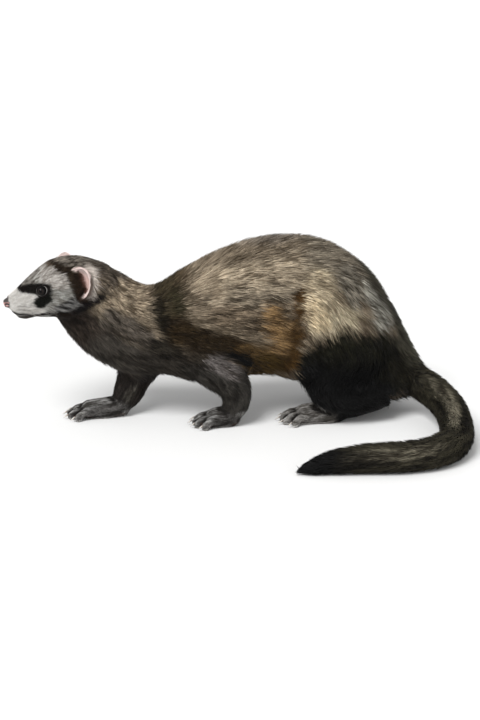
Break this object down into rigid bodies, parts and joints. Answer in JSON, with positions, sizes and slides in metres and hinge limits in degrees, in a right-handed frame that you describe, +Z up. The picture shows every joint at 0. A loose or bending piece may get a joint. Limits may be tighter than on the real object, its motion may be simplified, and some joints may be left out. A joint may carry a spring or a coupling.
{
  "type": "ferret",
  "caption": "Life-size still ferret walking slowly with arched back, masked face, dark legs, and a long tail laid round on the floor.",
  "frame": {"origin": "on the floor, under the middle of the bounding box", "axes": "-X the way the animal faces, -Y towards its left side, +Z up"},
  "size_m": [0.356, 0.1946, 0.1454],
  "materials": {
    "face_fur": "short dense fur, pale with a dark mask over the eyes",
    "ear_skin": "thin soft skin, pink inside with a pale furred rim",
    "eye_dark": "wet black-brown eye",
    "nose_skin": "bare moist skin",
    "body_fur": "long soft fur, cream underfur with dark guard hairs",
    "dark_fur": "long black-brown fur on the legs and tail",
    "claw_horn": "pale translucent horn"
  },
  "bodies": {
    "root": {"head": "face_fur", "ear_left": "ear_skin", "ear_right": "ear_skin", "eye_left": "eye_dark", "eye_right": "eye_dark", "nose": "nose_skin", "neck": "body_fur", "chest": "body_fur", "rump": "body_fur", "tail_root": "dark_fur", "tail_bend": "dark_fur", "tail_middle": "dark_fur", "tail_tip": "dark_fur", "foreleg_left": "dark_fur", "foreleg_right": "dark_fur", "forepaw_left": "dark_fur", "forepaw_right": "dark_fur", "hindleg_left": "dark_fur", "hindleg_right": "dark_fur", "hindfoot_left": "dark_fur", "hindfoot_right": "dark_fur", "claw_fore_left_1": "claw_horn", "claw_fore_left_2": "claw_horn", "claw_fore_left_3": "claw_horn", "claw_fore_left_4": "claw_horn", "claw_fore_left_5": "claw_horn", "claw_fore_right_1": "claw_horn", "claw_fore_right_2": "claw_horn", "claw_fore_right_3": "claw_horn", "claw_fore_right_4": "claw_horn", "claw_fore_right_5": "claw_horn", "claw_hind_left_1": "claw_horn", "claw_hind_left_2": "claw_horn", "claw_hind_left_3": "claw_horn", "claw_hind_left_4": "claw_horn", "claw_hind_left_5": "claw_horn", "claw_hind_right_1": "claw_horn", "claw_hind_right_2": "claw_horn", "claw_hind_right_3": "claw_horn", "claw_hind_right_4": "claw_horn", "claw_hind_right_5": "claw_horn"}
  },
  "joints": []
}
